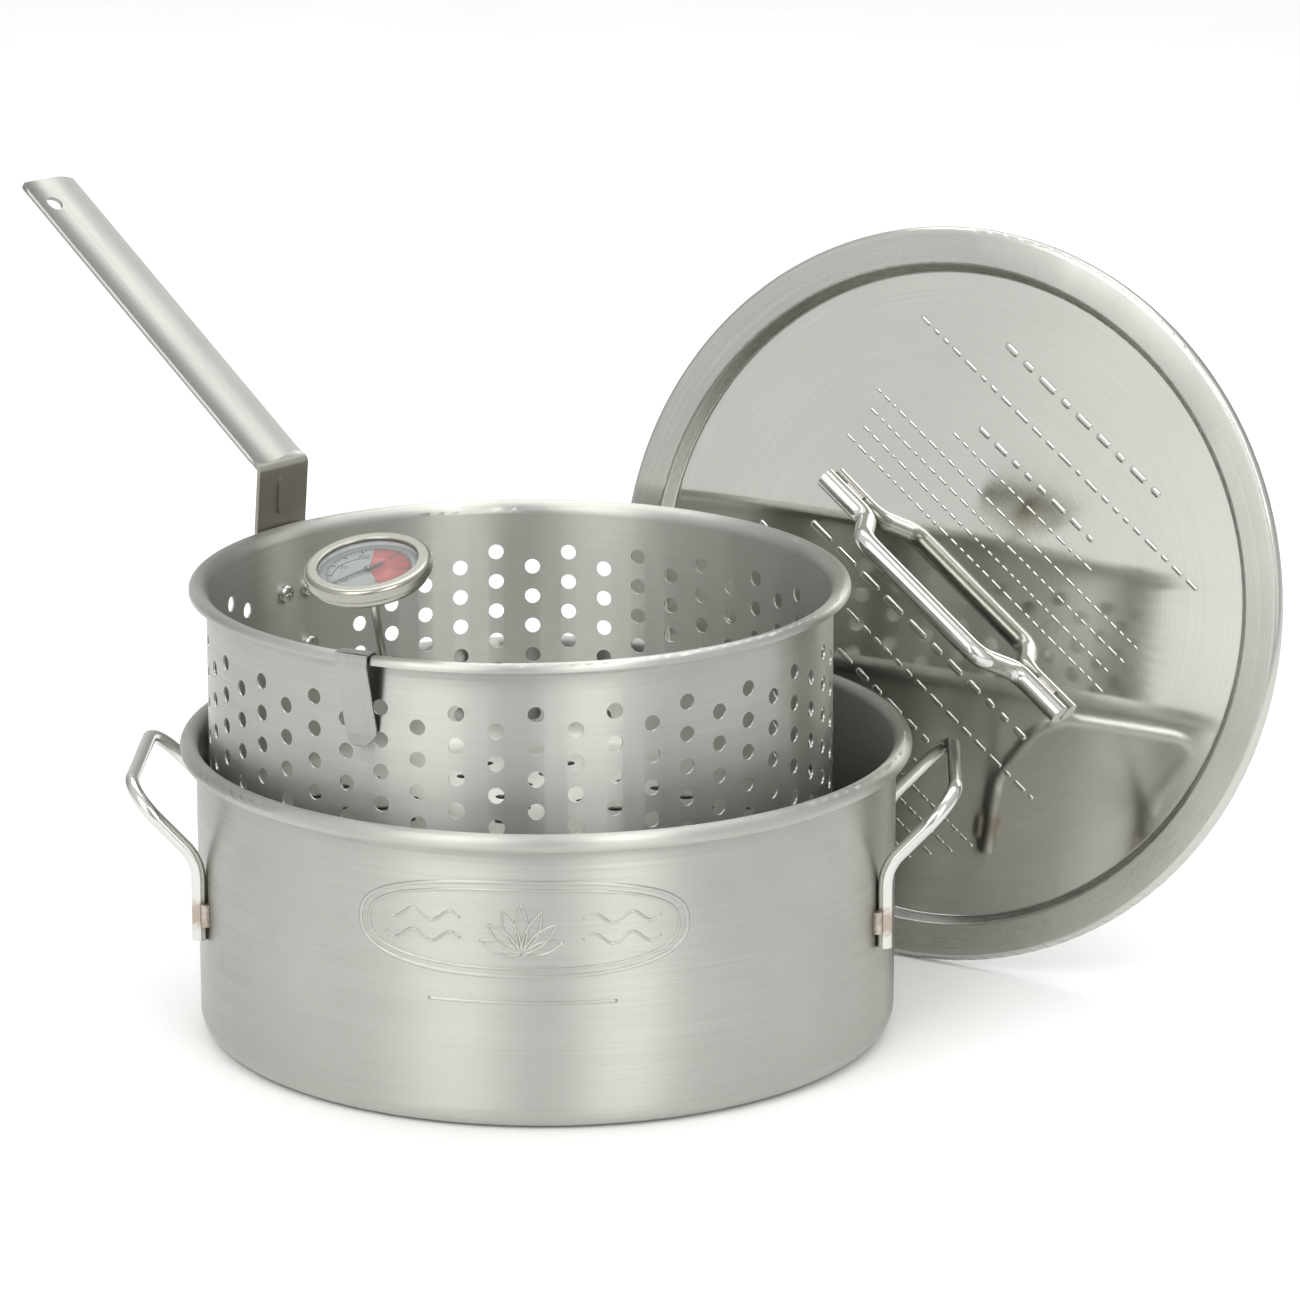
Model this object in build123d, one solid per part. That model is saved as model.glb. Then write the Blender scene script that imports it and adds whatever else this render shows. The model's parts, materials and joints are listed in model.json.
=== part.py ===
from build123d import *
import os
from math import asin, atan2, cos, degrees, radians, sin, sqrt, tan

# Turkey fryer kit: a wide stainless fry pot with two rod handles, a perforated basket that
# hangs raised in the pot by the drain hook of its strap handle, a dial thermometer in a
# spring clip on the basket rim, and a domed lid that stands on its edge beside the pot.
#
# Millimetres. Origin: centre of the pot base on the floor. +Z up, +X to the right of a
# person in front of the pot, who stands at -Y. Headings are degrees from +X towards +Y.

# --- Sheet, rod and fits ---------------------------------------------------------------
SHEET = 0.8                 # stainless sheet of pot, basket and lid
ROD_R = 3.175               # 1/4 inch handle rod
STRAP = 1.8                 # strap of the basket handle
SEAT_GAP = 0.03             # between fixed pieces that touch
BODY_GAP = 0.3              # between pieces that move against each other
RUNNING_GAP = 0.08          # radial clearance of a shaft in its hole
SHEET_CUT = 4.0             # height of a cutter through one sheet
WALL_CUT = 12.0             # height of a cutter through the wall and the strap on it
TRIM = 200.0                # larger than any piece that is trimmed to an outline

# --- Pot -------------------------------------------------------------------------------
POT_INNER_R = 152.4         # 12 inch inside diameter
POT_HEIGHT = 131.3
POT_CORNER_R = 9.0
LIP_WIDTH = 7.8             # rolled lip, from the inside of the wall outwards
LIP_HEIGHT = 7.5
LIP_ROUND = 3.4
LIP_EDGE_ROUND = 3.2
LIP_RETURN = 2.2            # the lip's edge stops this far from the middle of the wall
POT_R = POT_INNER_R + SHEET
LIP_R = POT_INNER_R + LIP_WIDTH

POT_HANDLE_HEADINGS = {"pot_handle_left": 178.0, "pot_handle_right": -2.0}
LEG_OFFSET = 48.5           # each leg from the middle of the handle
FOOT_Z = 49.0               # lower end of the legs
LEG_BEND_Z = 85.0           # where the legs turn outwards
GRIP_Z = 116.4
GRIP_REACH = 30.0           # grip beyond the legs
LEG_BEND_R = 20.0
GRIP_BEND_R = 18.0
WELD_R = 2.2
WELD_LENGTH = 10.0
WELD_LIFT = 1.2             # middle of a bead above the sheet
WELD_END_GAP = 0.4          # ball that rounds a bead's ends, beyond its half length
WELD_FROM_ROD = ROD_R + 0.9
POT_WELD_Z = 61.0

# --- Basket ----------------------------------------------------------------------------
BASKET_R = 136.9            # outside of the wall
BASKET_DEPTH = 117.0
BASKET_TOP_Z = 197.8        # hung up to drain
BASKET_CORNER_R = 10.0
RIM_R = 144.5
RIM_CURL = 3.6
FLARE_ROUND = 5.0           # where the wall turns out into the rim
RIM_ROUND = 2.4
HANG_HEADING = 139.2        # side the basket hangs from
HANG_OFFSET = 15.0          # basket axis from the pot axis
BASKET_BOTTOM_Z = BASKET_TOP_Z - BASKET_DEPTH

HOLE_R = 3.5
HOLE_COLUMNS = 48           # from one side of the handle round to the other
COLUMN_STEP = 7.0           # degrees
FIRST_COLUMN_HEADING = 154.9
HOLE_ROWS = 6               # in each column; every second column is half a row higher
HOLE_PITCH = 14.0
FIRST_HOLE_DROP = 30.6      # below the top of the rim, in the first column
BASE_RING_PITCH = 18.0
BASE_RINGS = 6

# --- Basket handle and its fasteners ---------------------------------------------------
STRAP_WIDTH = 31.0
HOOK_TIP_Z = 118.0
HOOK_GAP = 0.5              # between the hook and the outside of the pot's lip
JOGGLE_Z = (181.0, 190.5)   # the strap steps out round the rim between these heights
LEG_FOOT_R = 146.6          # middle of the strap above the joggle
LEG_TOP_R = 143.5
STRAP_BEND_Z = 225.8
HANDLE_SLOPE = 36.6         # degrees above the horizontal
HANDLE_LENGTH = 191.5       # from the bend to the tip
TROUGH_DEPTH = 6.0          # middle of the channel below its edges
TROUGH_START = 6.5          # full depth of the channel, from the bend
FLAT_END = 1.8              # the strap is flat up to here, from the bend
TIP_ROUND = 5.0
TIP_CORNER_R = 11.0
STRAP_BEND_R = 2.6
HANG_HOLE_R = 4.0
HANG_HOLE_FROM_TIP = 15.5
HOOK_BEND_R = 2.2
JOGGLE_BEND_R = (5.0, 2.5)
JOGGLE_END = 3.0            # the strap is still curved up to here, above the joggle
JOIN_RISE = 7.5             # and flat from here on
RIB_WIDTH = 7.0
RIB_LENGTH = 18.0
RIB_RISE = 0.9
RIB_WALL = 1.0

SCREW_R = 2.0
SCREW_HEADINGS = (-3.15, 3.15)   # from the middle of the strap
SCREW_HEIGHTS = (142.0, 168.5)
SCREW_HEAD_R = 4.0
SCREW_HEAD_HEIGHT = 2.4
SCREW_HEAD_ROUND = 1.4
RECESS_LENGTH = 4.6         # each slot of the cross
RECESS_WIDTH = 0.9
RECESS_DEPTH = 0.7
SCREW_REACH = 144.6         # free end, from the basket axis
WASHER_R = 3.6
WASHER_THICKNESS = 0.9
WASHER_SPLIT = 0.6
WASHER_SPLIT_SLANT = 15.0
NUT_ACROSS_FLATS = 7.0
NUT_THICKNESS = 3.2
NUT_CHAMFER = 0.4
FASTENER_HOLE_R = 2.2

# --- Thermometer and clip --------------------------------------------------------------
CLIP_HEADING = 242.4
CLIP_SHEET = 0.8
CLIP_WIDTH = 15.0
CLIP_LEAN = 15.0            # the stem leans outwards by this much
CLIP_STEP = ((138.9, 198.5), (135.0, 194.9))   # flat over the rim, then down to the plate
CLIP_REACH = 35.0           # top plate, from the outer leg inwards
CLIP_DROP = 11.0            # lower plate below the top plate, along the stem
CLIP_SHOULDER_Z = 193.0     # the outer leg leans in to the wall below this
CLIP_CREASE_Z = 162.0       # and its tongue flares out again here
CLIP_TONGUE_Z = 157.8
CLIP_FLARE = 3.6
CLIP_FROM_RIM = 1.1         # between the outer leg and the rim
CLIP_BEND_R = (1.2, 3.0, 1.0, 3.0, 2.0, 1.5, 1.5)   # from the tongue to the lower plate
STEM_FROM_LEG = 26.5
STEM_R = 1.9
STEM_BORE_R = 1.5
STEM_BELOW_CLIP = 77.0
STEM_TIP_ROUND = 1.6
STEM_TIP_WALL = 2.0
STEM_ABOVE_NECK = 0.4
HEAD_ABOVE_CLIP = 46.0      # top of the bezel, along the stem

BEZEL_R = 27.0
BEZEL_OPENING_R = 20.8
BEZEL_HEIGHT = 5.8
BEZEL_LIP = 1.4
BEZEL_INSET = 0.4           # middle of its sheet inside its outline
BEZEL_CRIMP_R = 25.8
HEAD_PACK_R = 25.9          # lens, spacer, dial and case flange inside the bezel
LENS_DEPTH = (1.45, 2.45)   # depths below the top of the bezel
SPACER_DEPTH = (2.5, 4.1)
DIAL_DEPTH = (4.12, 4.52)
FLANGE_DEPTH = (4.55, 5.15)
CASE_DEPTH = 9.5
CASE_GAP = 0.1              # between the case and the hexagon under it
HEAD_SHEET = 0.6            # sheet of case and bezel
CASE_ROUNDS = (1.6, 0.4)    # at its bottom and under its flange
BEZEL_ROUNDS = (0.55, 1.8, 0.4)   # inner lip, outer edge and crimp
CASE_R = 24.9
CASE_HOLE_R = 4.0
POINTER_DEPTH = (3.1, 3.4)
POINTER_LENGTH = 18.0
POINTER_TAIL = 7.0
POINTER_HALF_WIDTHS = (0.15, 0.7, 0.9)   # at the tip, the hub and the end of the tail
POINTER_HUB_R = 1.7
POINTER_HUB_HEIGHT = 0.5
DIAL_HOLE_R = 1.2
SPACER_WIDTH = 4.1
POINTER_HEADING = -29.6     # cold end of the scale, in the dial's own plane
SHAFT_R = 0.5
SHAFT_BELOW_CLIP = 30.0
SHAFT_ABOVE_POINTER = 0.3
COIL_R = 1.1
COIL_WIRE_R = 0.22
COIL_PITCH = 3.0
COIL_LENGTH = 42.0
COIL_GAP = 1.0              # between the coil and the shaft above it
HEX_ACROSS_FLATS = 9.0
HEX_HEIGHT = 5.0
HEX_CHAMFER = 0.5
NECK_HEIGHT = 1.0           # from the hexagon up through the case
NECK_FLANGE_R = 5.0
NECK_FLANGE_HEIGHT = 0.5
BUSH_LENGTH = 4.0

# --- Lid -------------------------------------------------------------------------------
LID_R = 166.6
LID_EDGE = 4.5              # turned-down edge
LID_BAND_INNER_R = 150.2
LID_PANEL_R = 146.7
LID_RECESS = 7.5
LID_DOME = 1.6
LID_STEP_ROUND = 1.6        # at both ends of the slope between panel and band
LID_EDGE_ROUND = 2.4
LID_YAW = 30.0              # the lid's face is turned this much towards -X
LID_TILT = 9.4              # and leans back by this much
LID_FOOT = (163.1, 78.7)    # where its edge stands on the floor
LID_ROD_R = 4.7625          # 3/8 inch rod
LID_HANDLE_TURN = -35.7     # in the lid's plane
LID_HANDLE_HALF = 78.9
LID_HANDLE_FOOT = 28.5      # straight end that lies on the panel
LID_GRIP_HALF = 38.6
LID_GRIP_RISE = 21.0        # grip above the ends
LID_HANDLE_BEND_R = 10.0
LID_WELD_R = 1.6
LID_WELD_LIFT = 0.6         # middle of a bead above the panel
LID_WELD_FROM_ROD = 3.6     # and beside the middle of the rod, mostly hidden under it


# --- Helpers ---------------------------------------------------------------------------
def turned_sheet(points, radii, thickness=SHEET):
    """Sheet turned about Z; points are (radius, height) of its middle surface."""
    middle = FilletPolyline(*points, radius=radii)
    return revolve(Plane.XZ * trace(middle, thickness), Axis.Z)


def bent_rod(points, radii, rod_r):
    """Round rod through 3-D points, with one bend radius for each inner point."""
    path = FilletPolyline(*points, radius=radii)
    section = Plane(origin=path @ 0, z_dir=path % 0) * Circle(rod_r)
    return sweep(section, path=path)


def tube(outer_r, inner_r, low, high):
    ring = Circle(outer_r) - Circle(inner_r)
    return Pos(0, 0, low) * extrude(ring, amount=high - low)


def rod(radius, low, high):
    return Pos(0, 0, low) * extrude(Circle(radius), amount=high - low)


def radial_place(heading, radius, height):
    """Frame whose Z runs out from the axis at this heading, and whose X runs up."""
    return Rot(0, 0, heading) * Pos(radius, 0, height) * Rot(0, 90, 0) * Rot(0, 0, 180)


def weld_bead(radius, rod_r, rod_centre, surface):
    """Bead along Z at the origin, in the notch between a rod and the sheet it lies on."""
    section = Circle(radius) - Pos(*rod_centre) * Circle(rod_r + SEAT_GAP) - surface
    return extrude(section, amount=WELD_LENGTH / 2, both=True) & Sphere(WELD_LENGTH / 2 + WELD_END_GAP)


def solids_of(shapes):
    """The solids of several shapes, kept apart in one compound."""
    return Compound(children=[solid for shape in shapes for solid in shape.solids()])


# --- Pot -------------------------------------------------------------------------------
def make_pot_shell():
    wall = POT_INNER_R + SHEET / 2
    top = POT_HEIGHT - SHEET / 2
    lip = LIP_R - SHEET / 2
    under = POT_HEIGHT - LIP_HEIGHT + SHEET / 2
    points = [
        (0, SHEET / 2),
        (wall, SHEET / 2),
        (wall, top),
        (lip, top),
        (lip, under),
        (wall + LIP_RETURN, under),
    ]
    return turned_sheet(points, [POT_CORNER_R, LIP_ROUND, LIP_ROUND, LIP_EDGE_ROUND])


def leg_radius():
    """Distance of the handle legs from the pot axis plane: they lie against the round wall."""
    return sqrt((POT_R + ROD_R + SEAT_GAP) ** 2 - LEG_OFFSET ** 2)


def make_pot_handle(heading):
    leg = leg_radius()
    side = [
        Vector(leg, LEG_OFFSET, FOOT_Z),
        Vector(leg, LEG_OFFSET, LEG_BEND_Z),
        Vector(leg + GRIP_REACH, LEG_OFFSET, GRIP_Z),
    ]
    mirrored = [Vector(p.X, -p.Y, p.Z) for p in reversed(side)]
    handle = bent_rod(side + mirrored, [LEG_BEND_R, GRIP_BEND_R, GRIP_BEND_R, LEG_BEND_R], ROD_R)
    return Rot(0, 0, heading) * handle


def make_pot_handle_welds():
    """A bead on each side of each leg, against the wall."""
    bead_r = POT_R + WELD_LIFT
    leg_r = POT_R + ROD_R + SEAT_GAP
    wall = Pos(-bead_r, 0) * Circle(POT_R + SEAT_GAP)
    leg_angle = degrees(atan2(LEG_OFFSET, leg_radius()))
    notch = WELD_FROM_ROD / POT_R
    beads = []
    for heading in POT_HANDLE_HEADINGS.values():
        for leg in (-leg_angle, leg_angle):
            for side in (-notch, notch):
                rod_centre = (leg_r * cos(side) - bead_r, -leg_r * sin(side))
                bead = weld_bead(WELD_R, ROD_R, rod_centre, wall)
                beads.append(Rot(0, 0, heading + leg + degrees(side)) * Pos(bead_r, 0, POT_WELD_Z) * bead)
    return solids_of(beads)


# --- Basket ----------------------------------------------------------------------------
BASKET_PLACE = Pos(
    HANG_OFFSET * cos(radians(HANG_HEADING)),
    HANG_OFFSET * sin(radians(HANG_HEADING)),
    0,
)


def wall_holes():
    """Cutters of the staggered wall holes; the wall is left blank behind the handle."""
    cutter = Cylinder(HOLE_R, SHEET_CUT)
    cutters = []
    for column in range(HOLE_COLUMNS):
        heading = FIRST_COLUMN_HEADING + column * COLUMN_STEP
        first = BASKET_TOP_Z - FIRST_HOLE_DROP + (column % 2) * HOLE_PITCH / 2
        for row in range(HOLE_ROWS):
            place = radial_place(heading, BASKET_R, first - row * HOLE_PITCH)
            cutters.append(place * cutter)
    return cutters


def base_holes():
    """Cutters of the drain holes in the bottom: one in the middle, then rings of 6, 12, 18 ..."""
    cutter = Cylinder(HOLE_R, SHEET_CUT)
    cutters = [Pos(0, 0, BASKET_BOTTOM_Z) * cutter]
    for ring in range(1, BASE_RINGS + 1):
        count = 6 * ring
        for index in range(count):
            place = Rot(0, 0, 360 * index / count) * Pos(ring * BASE_RING_PITCH, 0, BASKET_BOTTOM_Z)
            cutters.append(place * cutter)
    return cutters


def fastener_holes(radius):
    return [
        radial_place(HANG_HEADING + heading, BASKET_R, height) * Cylinder(radius, WALL_CUT)
        for heading in SCREW_HEADINGS
        for height in SCREW_HEIGHTS
    ]


def make_basket_shell():
    wall = BASKET_R - SHEET / 2
    base = BASKET_BOTTOM_Z + SHEET / 2
    top = BASKET_TOP_Z - SHEET / 2
    rim = RIM_R - SHEET / 2
    points = [(0, base), (wall, base), (wall, top), (rim, top), (rim, BASKET_TOP_Z - RIM_CURL)]
    shell = turned_sheet(points, [BASKET_CORNER_R, FLARE_ROUND, RIM_ROUND])
    cutters = wall_holes() + base_holes() + fastener_holes(FASTENER_HOLE_R)
    return BASKET_PLACE * shell.cut(*cutters)


# --- Basket handle ---------------------------------------------------------------------
# Its own frame: the basket axis at the origin, X out along the handle, Z up.
HANDLE_PLACE = BASKET_PLACE * Rot(0, 0, HANG_HEADING)
SLOPE_OUT = cos(radians(HANDLE_SLOPE))
SLOPE_UP = sin(radians(HANDLE_SLOPE))
STRAP_LOOSE_R = BASKET_R + SEAT_GAP + STRAP / 2
JOIN_Z = JOGGLE_Z[1] + JOIN_RISE


def leg_radius_at(height):
    share = (height - JOGGLE_Z[1]) / (STRAP_BEND_Z - JOGGLE_Z[1])
    return LEG_FOOT_R + share * (LEG_TOP_R - LEG_FOOT_R)


def slope_plane(distance):
    """Plane across the handle, this far up the slope from the bend; its Y is the upper side."""
    origin = (LEG_TOP_R + distance * SLOPE_OUT, 0, STRAP_BEND_Z + distance * SLOPE_UP)
    return Plane(origin=origin, x_dir=(0, 1, 0), z_dir=(SLOPE_OUT, 0, SLOPE_UP))


def strap_section(depth):
    """Section of the strap, flat or pressed into a trough, in the slope plane's frame."""
    half = STRAP_WIDTH / 2
    if depth == 0:
        return trace(Line((-half, 0), (half, 0)), STRAP)
    return trace(ThreePointArc((-half, 0), (0, -depth), (half, 0)), STRAP)


def make_hook_and_saddle():
    """Lower strap, curved with the basket: the hook over the pot lip, the saddle, the joggle."""
    hook_r = LIP_R - HANG_OFFSET + HOOK_GAP + STRAP / 2
    shelf_z = POT_HEIGHT + BODY_GAP + STRAP / 2
    points = [
        (hook_r, HOOK_TIP_Z),
        (hook_r, shelf_z),
        (STRAP_LOOSE_R, shelf_z),
        (STRAP_LOOSE_R, JOGGLE_Z[0]),
        (LEG_FOOT_R, JOGGLE_Z[1]),
        (LEG_FOOT_R, JOGGLE_Z[1] + JOGGLE_END),
    ]
    middle = FilletPolyline(*points, radius=[HOOK_BEND_R, HOOK_BEND_R, *JOGGLE_BEND_R])
    sweep_angle = 2 * degrees(STRAP_WIDTH / BASKET_R)
    turned = revolve(Plane.XZ * trace(middle, STRAP), Axis.Z, revolution_arc=sweep_angle)
    turned = Rot(0, 0, -sweep_angle / 2) * turned
    width = Pos(BASKET_R, 0, (HOOK_TIP_Z + BASKET_TOP_Z) / 2) * Box(TRIM, STRAP_WIDTH, TRIM)
    return turned & width


def make_strap_blend():
    """From the curved section above the joggle to the flat leg."""
    low_z = JOGGLE_Z[1] + JOGGLE_END
    ring = Circle(LEG_FOOT_R + STRAP / 2) - Circle(LEG_FOOT_R - STRAP / 2)
    low = Pos(0, 0, low_z) * (ring & Pos(LEG_FOOT_R, 0) * Rectangle(TRIM, STRAP_WIDTH))
    high = Pos(leg_radius_at(JOIN_Z), 0, JOIN_Z) * Rectangle(STRAP, STRAP_WIDTH)
    return loft([low.faces()[0], high.faces()[0]])


def make_flat_leg():
    """Flat leg and the bend, up to the start of the channel."""
    points = [
        (leg_radius_at(JOIN_Z), JOIN_Z),
        (LEG_TOP_R, STRAP_BEND_Z),
        (LEG_TOP_R + FLAT_END * SLOPE_OUT, STRAP_BEND_Z + FLAT_END * SLOPE_UP),
    ]
    profile = Plane.XZ * trace(FilletPolyline(*points, radius=STRAP_BEND_R), STRAP)
    return extrude(profile, amount=STRAP_WIDTH / 2, both=True)


def rib_block(grow, rise):
    """Long block with round ends, on the basket side of the leg."""
    middle_z = (JOIN_Z + STRAP_BEND_Z) / 2
    radius = leg_radius_at(middle_z)
    lean = degrees(atan2(LEG_FOOT_R - LEG_TOP_R, STRAP_BEND_Z - JOGGLE_Z[1]))
    outline = SlotOverall(RIB_LENGTH + 2 * grow, RIB_WIDTH + 2 * grow)
    place = Pos(radius, 0, middle_z) * Rot(0, -90 - lean, 0)
    return place * Pos(0, 0, rise) * extrude(outline, amount=STRAP / 2, both=True)


def make_channel():
    """Trough of the handle with its rounded tip and hang hole."""
    blend = loft([
        (slope_plane(FLAT_END) * strap_section(0)).faces()[0],
        (slope_plane(TROUGH_START) * strap_section(TROUGH_DEPTH)).faces()[0],
    ])
    run = slope_plane(TROUGH_START) * strap_section(TROUGH_DEPTH)
    run = extrude(run, amount=HANDLE_LENGTH - TROUGH_START, dir=(SLOPE_OUT, 0, SLOPE_UP))
    half = STRAP_WIDTH / 2 + SEAT_GAP
    shoulder = HANDLE_LENGTH - TIP_ROUND
    outline = make_face([
        Line((0, half), (0, -half)),
        Line((0, -half), (shoulder, -half)),
        ThreePointArc((shoulder, -half), (HANDLE_LENGTH, 0), (shoulder, half)),
        Line((shoulder, half), (0, half)),
    ])
    corners = outline.vertices().sort_by(Axis.X)[-2:]
    outline = fillet(corners, radius=TIP_CORNER_R)
    outline -= Pos(HANDLE_LENGTH - HANG_HOLE_FROM_TIP, 0) * Circle(HANG_HOLE_R)
    lie = Plane(
        origin=(LEG_TOP_R, 0, STRAP_BEND_Z),
        x_dir=(SLOPE_OUT, 0, SLOPE_UP),
        z_dir=(-SLOPE_UP, 0, SLOPE_OUT),
    )
    trim = extrude(lie * outline, amount=TRIM, both=True)
    return (blend + run) & trim


def make_basket_handle():
    leg = make_flat_leg() + rib_block(0, RIB_RISE)
    leg -= rib_block(-RIB_WALL, RIB_RISE - STRAP)
    handle = make_hook_and_saddle() + make_strap_blend() + leg + make_channel()
    handle = HANDLE_PLACE * handle
    holes = [BASKET_PLACE * hole for hole in fastener_holes(FASTENER_HOLE_R)]
    return handle.cut(*holes)


# --- Fasteners: Z of each piece's own frame runs out through the wall ------------------
def cross_recess():
    slot = Box(RECESS_LENGTH, RECESS_WIDTH, 2 * RECESS_DEPTH)
    return slot + Rot(0, 0, 90) * slot


def make_screw():
    seat = sqrt((BASKET_R - SHEET) ** 2 - SCREW_HEAD_R ** 2) - SEAT_GAP
    head = Pos(0, 0, seat - SCREW_HEAD_HEIGHT) * extrude(Circle(SCREW_HEAD_R), amount=SCREW_HEAD_HEIGHT)
    head = fillet(head.edges().group_by(Axis.Z)[0], radius=SCREW_HEAD_ROUND)
    head -= Pos(0, 0, seat - SCREW_HEAD_HEIGHT) * cross_recess()
    return head + rod(SCREW_R, seat, SCREW_REACH)


def make_lock_washer():
    seat = STRAP_LOOSE_R + STRAP / 2 + SEAT_GAP
    washer = tube(WASHER_R, FASTENER_HOLE_R, seat, seat + WASHER_THICKNESS)
    split = Box(WASHER_R, WASHER_SPLIT, 2 * WASHER_R)
    return washer - Pos(WASHER_R, 0, seat) * Rot(WASHER_SPLIT_SLANT, 0, 0) * split


def make_nut():
    seat = STRAP_LOOSE_R + STRAP / 2 + 2 * SEAT_GAP + WASHER_THICKNESS
    blank = RegularPolygon(NUT_ACROSS_FLATS / 2, 6, major_radius=False) - Circle(SCREW_R + SEAT_GAP)
    nut = Pos(0, 0, seat) * extrude(blank, amount=NUT_THICKNESS)
    corner_r = NUT_ACROSS_FLATS / sqrt(3)
    turned = chamfer(rod(corner_r, seat, seat + NUT_THICKNESS).edges(), length=NUT_CHAMFER)
    return nut & turned


def four_of(piece):
    """The piece at each of the four screw places in the basket wall."""
    return solids_of([
        BASKET_PLACE * radial_place(HANG_HEADING + heading, 0, height) * piece
        for heading in SCREW_HEADINGS
        for height in SCREW_HEIGHTS
    ])


# --- Thermometer clip ------------------------------------------------------------------
# Its own frame: the basket axis at the origin, X out along the clip, Z up.
CLIP_PLACE = BASKET_PLACE * Rot(0, 0, CLIP_HEADING)
LEAN_OUT = sin(radians(CLIP_LEAN))
LEAN_UP = cos(radians(CLIP_LEAN))
CLIP_LEG_R = RIM_R + CLIP_FROM_RIM + CLIP_SHEET / 2


def top_plate_z(radius):
    """Middle of the top plate, which slopes down from its step towards the basket axis."""
    step_r, step_z = CLIP_STEP[1]
    return step_z + (radius - step_r) * tan(radians(CLIP_LEAN))


STEM_CLIP_R = CLIP_LEG_R - STEM_FROM_LEG
STEM_PLANE = Plane(
    origin=(STEM_CLIP_R, 0, top_plate_z(STEM_CLIP_R)),
    x_dir=(LEAN_UP, 0, -LEAN_OUT),
    z_dir=(LEAN_OUT, 0, LEAN_UP),
)


def tongue_corners():
    """What is cut from the lower end of the outer leg to round its tongue."""
    half = CLIP_WIDTH / 2
    middle_z = CLIP_TONGUE_Z - CLIP_SHEET / 2 + half
    square = Pos(0, middle_z - half) * Rectangle(2 * CLIP_WIDTH, CLIP_WIDTH)
    outline = square - Pos(0, middle_z) * Circle(half)
    return Pos(BASKET_R, 0, 0) * extrude(Plane.YZ * outline, amount=CLIP_WIDTH, both=True)


def make_thermometer_clip():
    """Strap over the rim: outer leg, top plate, fold and a lower plate that presses the wall."""
    fold_r = CLIP_LEG_R - CLIP_REACH
    fold_z = top_plate_z(fold_r)
    low_r = fold_r - CLIP_DROP * LEAN_OUT
    low_z = fold_z - CLIP_DROP * LEAN_UP
    end_r = BASKET_R - SHEET - BODY_GAP - CLIP_SHEET
    wall_r = BASKET_R + BODY_GAP + CLIP_SHEET / 2
    points = [
        (wall_r + CLIP_FLARE, CLIP_TONGUE_Z),
        (wall_r, CLIP_CREASE_Z),
        (CLIP_LEG_R, CLIP_SHOULDER_Z),
        (CLIP_LEG_R, CLIP_STEP[0][1]),
        *CLIP_STEP,
        (fold_r, fold_z),
        (low_r, low_z),
        (end_r, low_z + (end_r - low_r) * tan(radians(CLIP_LEAN))),
    ]
    middle = FilletPolyline(*points, radius=CLIP_BEND_R)
    clip = extrude(Plane.XZ * trace(middle, CLIP_SHEET), amount=CLIP_WIDTH / 2, both=True)
    hole = STEM_PLANE * Cylinder(STEM_R + RUNNING_GAP, 4 * CLIP_DROP)
    return CLIP_PLACE * ((clip - tongue_corners()) - hole)


# --- Thermometer: Z of its own frame runs up the stem from the clip's top plate --------
STEM_PLACE = CLIP_PLACE * STEM_PLANE.location
HEX_TOP = HEAD_ABOVE_CLIP - CASE_DEPTH - CASE_GAP
NECK_TOP = HEX_TOP + NECK_HEIGHT


def below_top(depth):
    return HEAD_ABOVE_CLIP - depth


def make_stem():
    """Thin tube with a closed, rounded tip."""
    outer = rod(STEM_R, -STEM_BELOW_CLIP, NECK_TOP + STEM_ABOVE_NECK)
    outer = fillet(outer.edges().group_by(Axis.Z)[0], radius=STEM_TIP_ROUND)
    return outer - rod(STEM_BORE_R, STEM_TIP_WALL - STEM_BELOW_CLIP, HEAD_ABOVE_CLIP)


def make_calibration_nut():
    """Hexagon under the case, with a neck through it that is flanged over inside."""
    hexagon = RegularPolygon(HEX_ACROSS_FLATS / 2, 6, major_radius=False)
    body = Pos(0, 0, HEX_TOP - HEX_HEIGHT) * extrude(hexagon, amount=HEX_HEIGHT)
    turned = rod(HEX_ACROSS_FLATS / sqrt(3), HEX_TOP - HEX_HEIGHT, HEX_TOP)
    body = body & chamfer(turned.edges(), length=HEX_CHAMFER)
    neck = rod(CASE_HOLE_R - RUNNING_GAP, HEX_TOP, NECK_TOP)
    flange = rod(NECK_FLANGE_R, NECK_TOP, NECK_TOP + NECK_FLANGE_HEIGHT)
    return body + neck + flange - rod(STEM_R + SEAT_GAP / 2, 0, HEAD_ABOVE_CLIP)


def make_bimetal_coil():
    """Helix near the tip that turns the pointer shaft as it warms."""
    helix = Helix(pitch=COIL_PITCH, height=COIL_LENGTH, radius=COIL_R)
    section = Plane(origin=helix @ 0, z_dir=helix % 0) * Circle(COIL_WIRE_R)
    low = -SHAFT_BELOW_CLIP - COIL_LENGTH - COIL_GAP
    return Pos(0, 0, low) * sweep(section, path=helix, is_frenet=True)


def make_shaft_bush():
    top = NECK_TOP
    return tube(STEM_BORE_R - SEAT_GAP / 2, SHAFT_R + RUNNING_GAP, top - BUSH_LENGTH, top)


def make_pointer_shaft():
    return rod(SHAFT_R, -SHAFT_BELOW_CLIP, below_top(POINTER_DEPTH[0]) + SHAFT_ABOVE_POINTER)


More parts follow.
